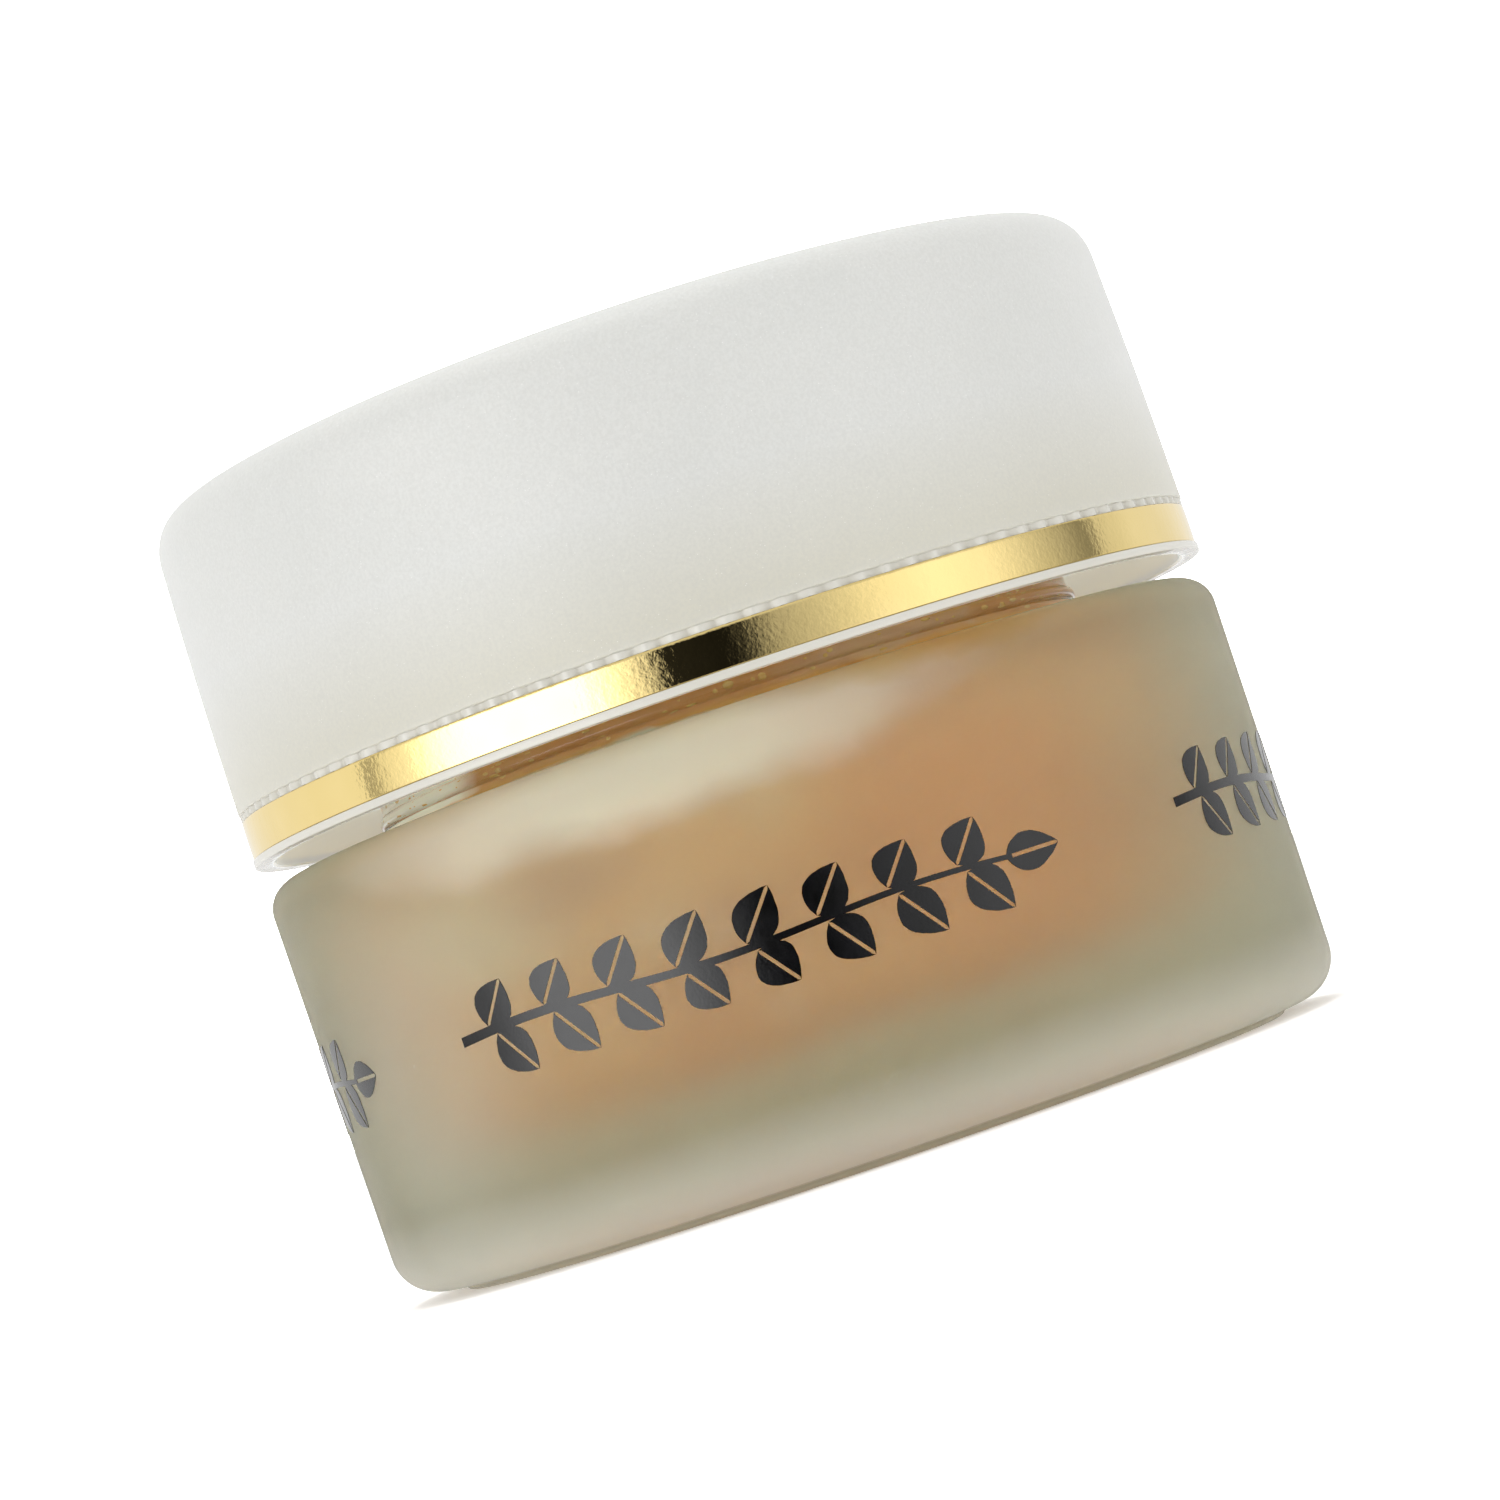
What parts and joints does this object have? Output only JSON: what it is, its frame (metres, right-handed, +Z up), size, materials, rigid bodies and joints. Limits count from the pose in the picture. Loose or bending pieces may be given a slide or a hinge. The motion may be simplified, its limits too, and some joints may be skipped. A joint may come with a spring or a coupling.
{
  "type": "cosmetic cream jar",
  "caption": "Round frosted glass cream jar with a thick base and a threaded neck, a pearl screw lid with a slim gold band, a liner and a sealing disc under it, and cream inside.",
  "frame": {"origin": "centre of the foot ring, on the surface that the jar stands on", "axes": "+Z up along the jar's and the lid's common axis; the front faces -Y and +X is to the viewer's right"},
  "size_m": [0.0626, 0.0626, 0.0524],
  "materials": {
    "frosted_glass": "acid-frosted outside, clear on the neck and in the cavity",
    "cream": "soft, moist",
    "disc_plastic": "natural translucent white",
    "liner_foam": "fine closed-cell foam with a smooth skin",
    "clear_plastic": "clear, glossy",
    "pearl_shell": "pearl, satin",
    "gold_metal": "polished gold colour, faint ripple"
  },
  "bodies": {
    "jar": {"jar_body": "frosted_glass", "cream": "cream"},
    "seal": {"sealing_disc": "disc_plastic"},
    "liner": {"cap_liner": "liner_foam"},
    "lid": {"inner_cap": "clear_plastic", "outer_cap": "pearl_shell", "metal_band": "gold_metal"}
  },
  "joints": [
    {"name": "lid_lift", "type": "slide", "parent": "jar", "child": "liner", "axis": [0, 0, 1], "range_m": [0, 0.024]},
    {"name": "lid_turn", "type": "hinge", "parent": "liner", "child": "lid", "pos_m": [0, 0, 0.03], "axis": [0, 0, 1], "range_deg": [0, 1440]},
    {"name": "seal_lift", "type": "slide", "parent": "jar", "child": "seal", "axis": [0, 0, 1], "range_m": [0, 0.006]}
  ],
  "couplings": [
    {"joint": "lid_lift", "follows": "lid_turn", "m_per_rad": 0.00095493},
    {"joint": "seal_lift", "follows": "lid_turn", "m_per_rad": 0.00023873}
  ]
}
